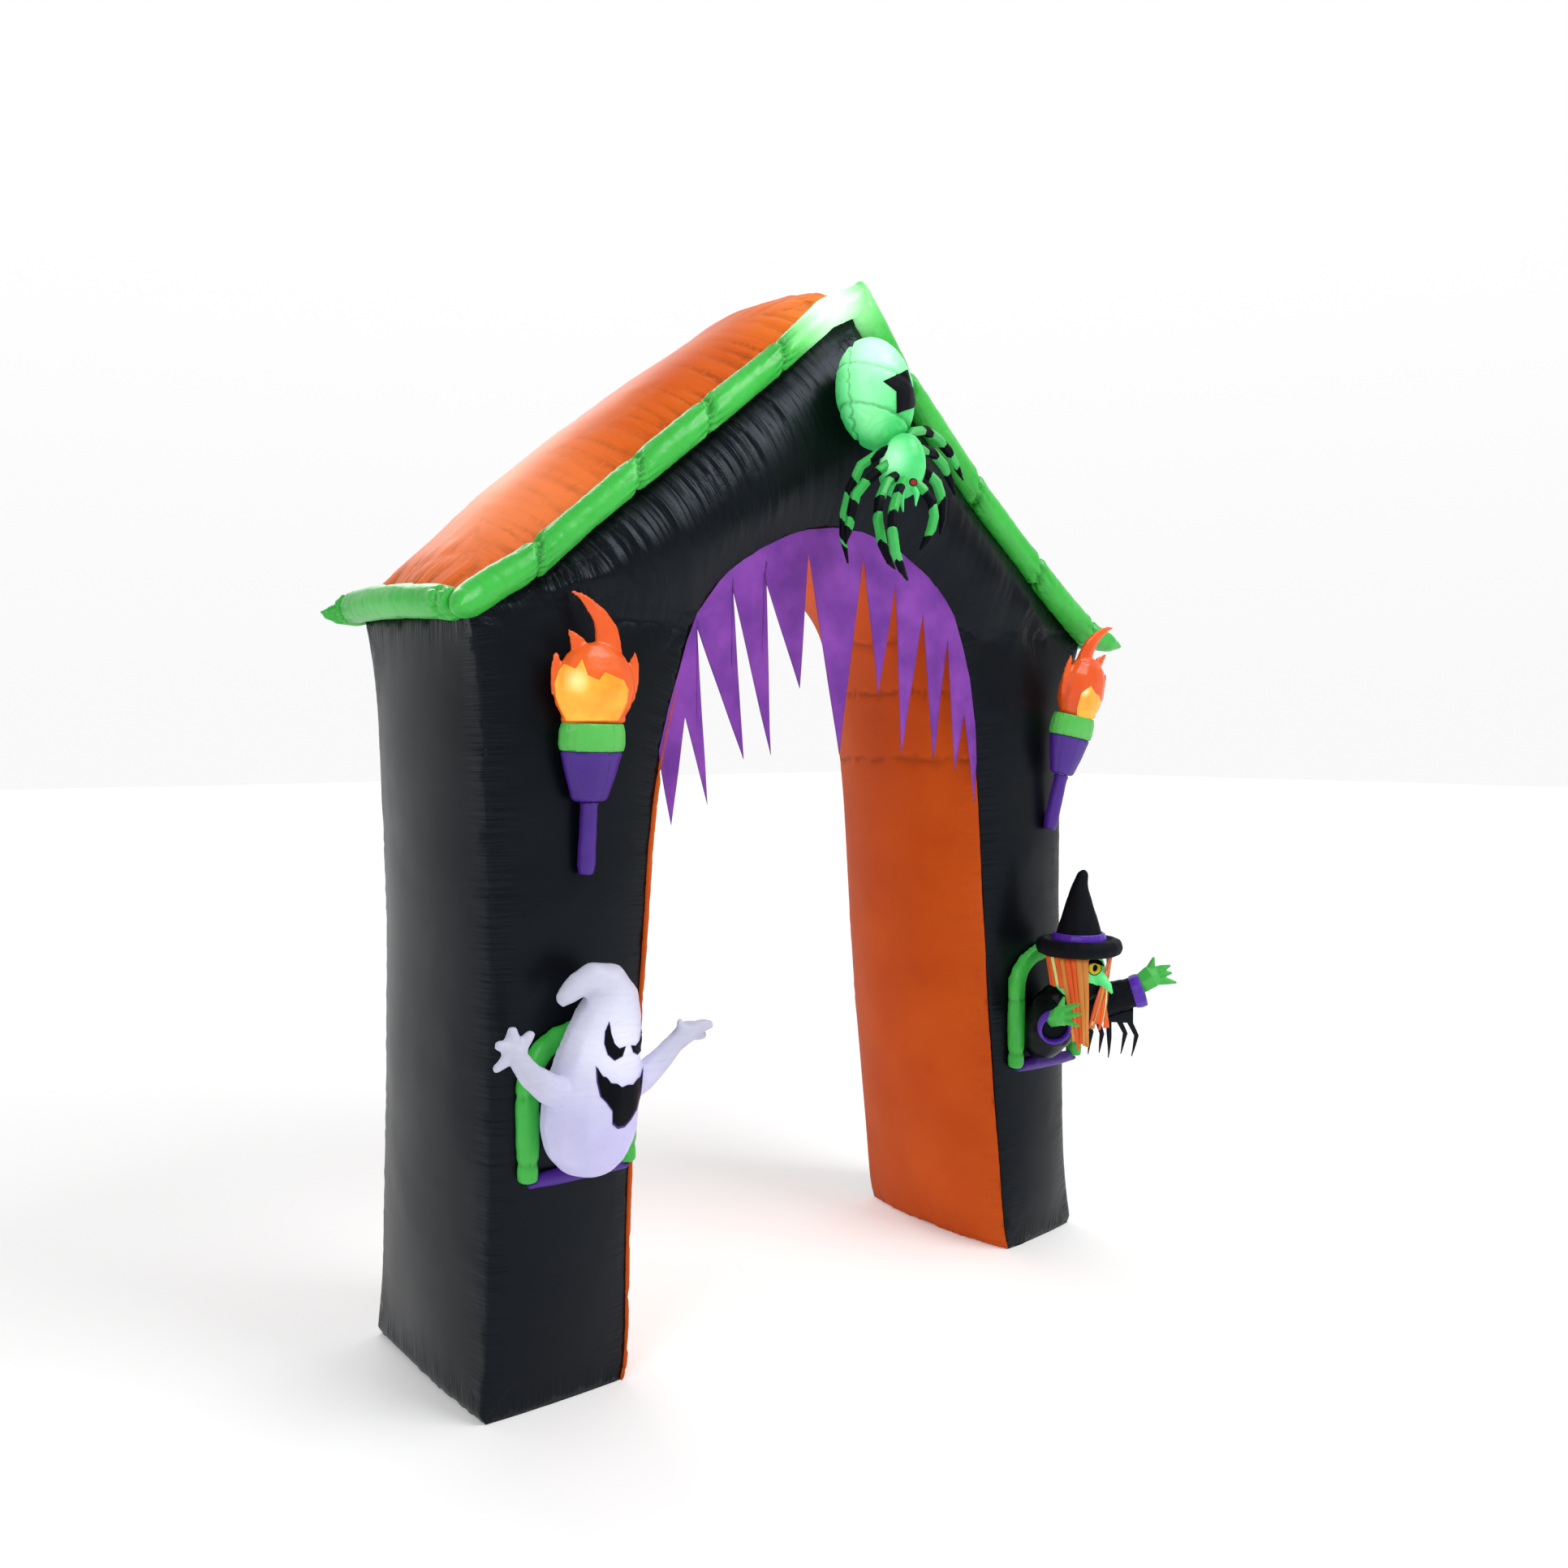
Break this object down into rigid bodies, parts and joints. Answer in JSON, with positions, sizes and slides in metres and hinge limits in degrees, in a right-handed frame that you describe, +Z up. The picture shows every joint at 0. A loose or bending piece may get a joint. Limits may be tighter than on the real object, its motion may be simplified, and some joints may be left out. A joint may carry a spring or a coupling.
{
  "type": "inflatable arch",
  "caption": "Blown-up cloth archway shaped like a gabled haunted house front, with torches, a spider, a ghost and a witch at its windows.",
  "frame": {"origin": "centre of the bounding box in plan, on the floor under the arch", "axes": "+Z up; the arch faces -Y, so a visitor walks in along +Y; +X to the right as seen from the front"},
  "size_m": [2.276, 1.0101, 2.7511],
  "materials": {
    "black_nylon": "semi-gloss black nylon of a blown-up display",
    "orange_nylon": "semi-gloss orange nylon, faintly lit from inside",
    "green_nylon": "semi-gloss green nylon, faintly lit from inside",
    "purple_nylon": "semi-gloss purple nylon",
    "purple_sheer": "matt sheer purple cloth, one layer, hung from the top of the opening",
    "flame_nylon": "orange nylon, lit from inside",
    "white_nylon": "white nylon, lit from inside",
    "spider_nylon": "pale green nylon, lit from inside",
    "skin_nylon": "green nylon, faintly lit from inside",
    "hair_ribbon": "orange ribbon cloth, one layer"
  },
  "bodies": {
    "root": {"arch_body": "black_nylon", "ghost_arm_left": "white_nylon", "ghost_arm_right": "white_nylon", "ghost_body": "white_nylon", "roof_panel": "orange_nylon", "soffit_panel": "orange_nylon", "spider_abdomen": "spider_nylon", "spider_fang_left": "spider_nylon", "spider_fang_right": "spider_nylon", "spider_head": "spider_nylon", "spider_leg_1": "spider_nylon", "spider_leg_2": "spider_nylon", "spider_leg_3": "spider_nylon", "spider_leg_4": "spider_nylon", "spider_leg_5": "spider_nylon", "spider_leg_6": "spider_nylon", "spider_leg_7": "spider_nylon", "spider_leg_8": "spider_nylon", "torch_left_cup": "purple_nylon", "torch_left_flame": "flame_nylon", "torch_left_handle": "purple_nylon", "torch_left_rim": "green_nylon", "torch_right_cup": "purple_nylon", "torch_right_flame": "flame_nylon", "torch_right_handle": "purple_nylon", "torch_right_rim": "green_nylon", "trim_back_left": "green_nylon", "trim_back_right": "green_nylon", "trim_eave_left": "green_nylon", "trim_eave_right": "green_nylon", "trim_front_left": "green_nylon", "trim_front_right": "green_nylon", "valance": "purple_sheer", "window_left_frame": "green_nylon", "window_left_sill": "purple_nylon", "window_right_frame": "green_nylon", "window_right_sill": "purple_nylon", "witch_cuff_left": "purple_nylon", "witch_cuff_right": "purple_nylon", "witch_hair_left": "hair_ribbon", "witch_hair_right": "hair_ribbon", "witch_hand_left": "skin_nylon", "witch_hand_right": "skin_nylon", "witch_hat": "black_nylon", "witch_hat_band": "purple_nylon", "witch_hat_brim": "black_nylon", "witch_head": "skin_nylon", "witch_sleeve_fringe": "black_nylon", "witch_sleeve_left": "black_nylon", "witch_sleeve_right": "black_nylon", "witch_torso": "black_nylon"}
  },
  "joints": []
}
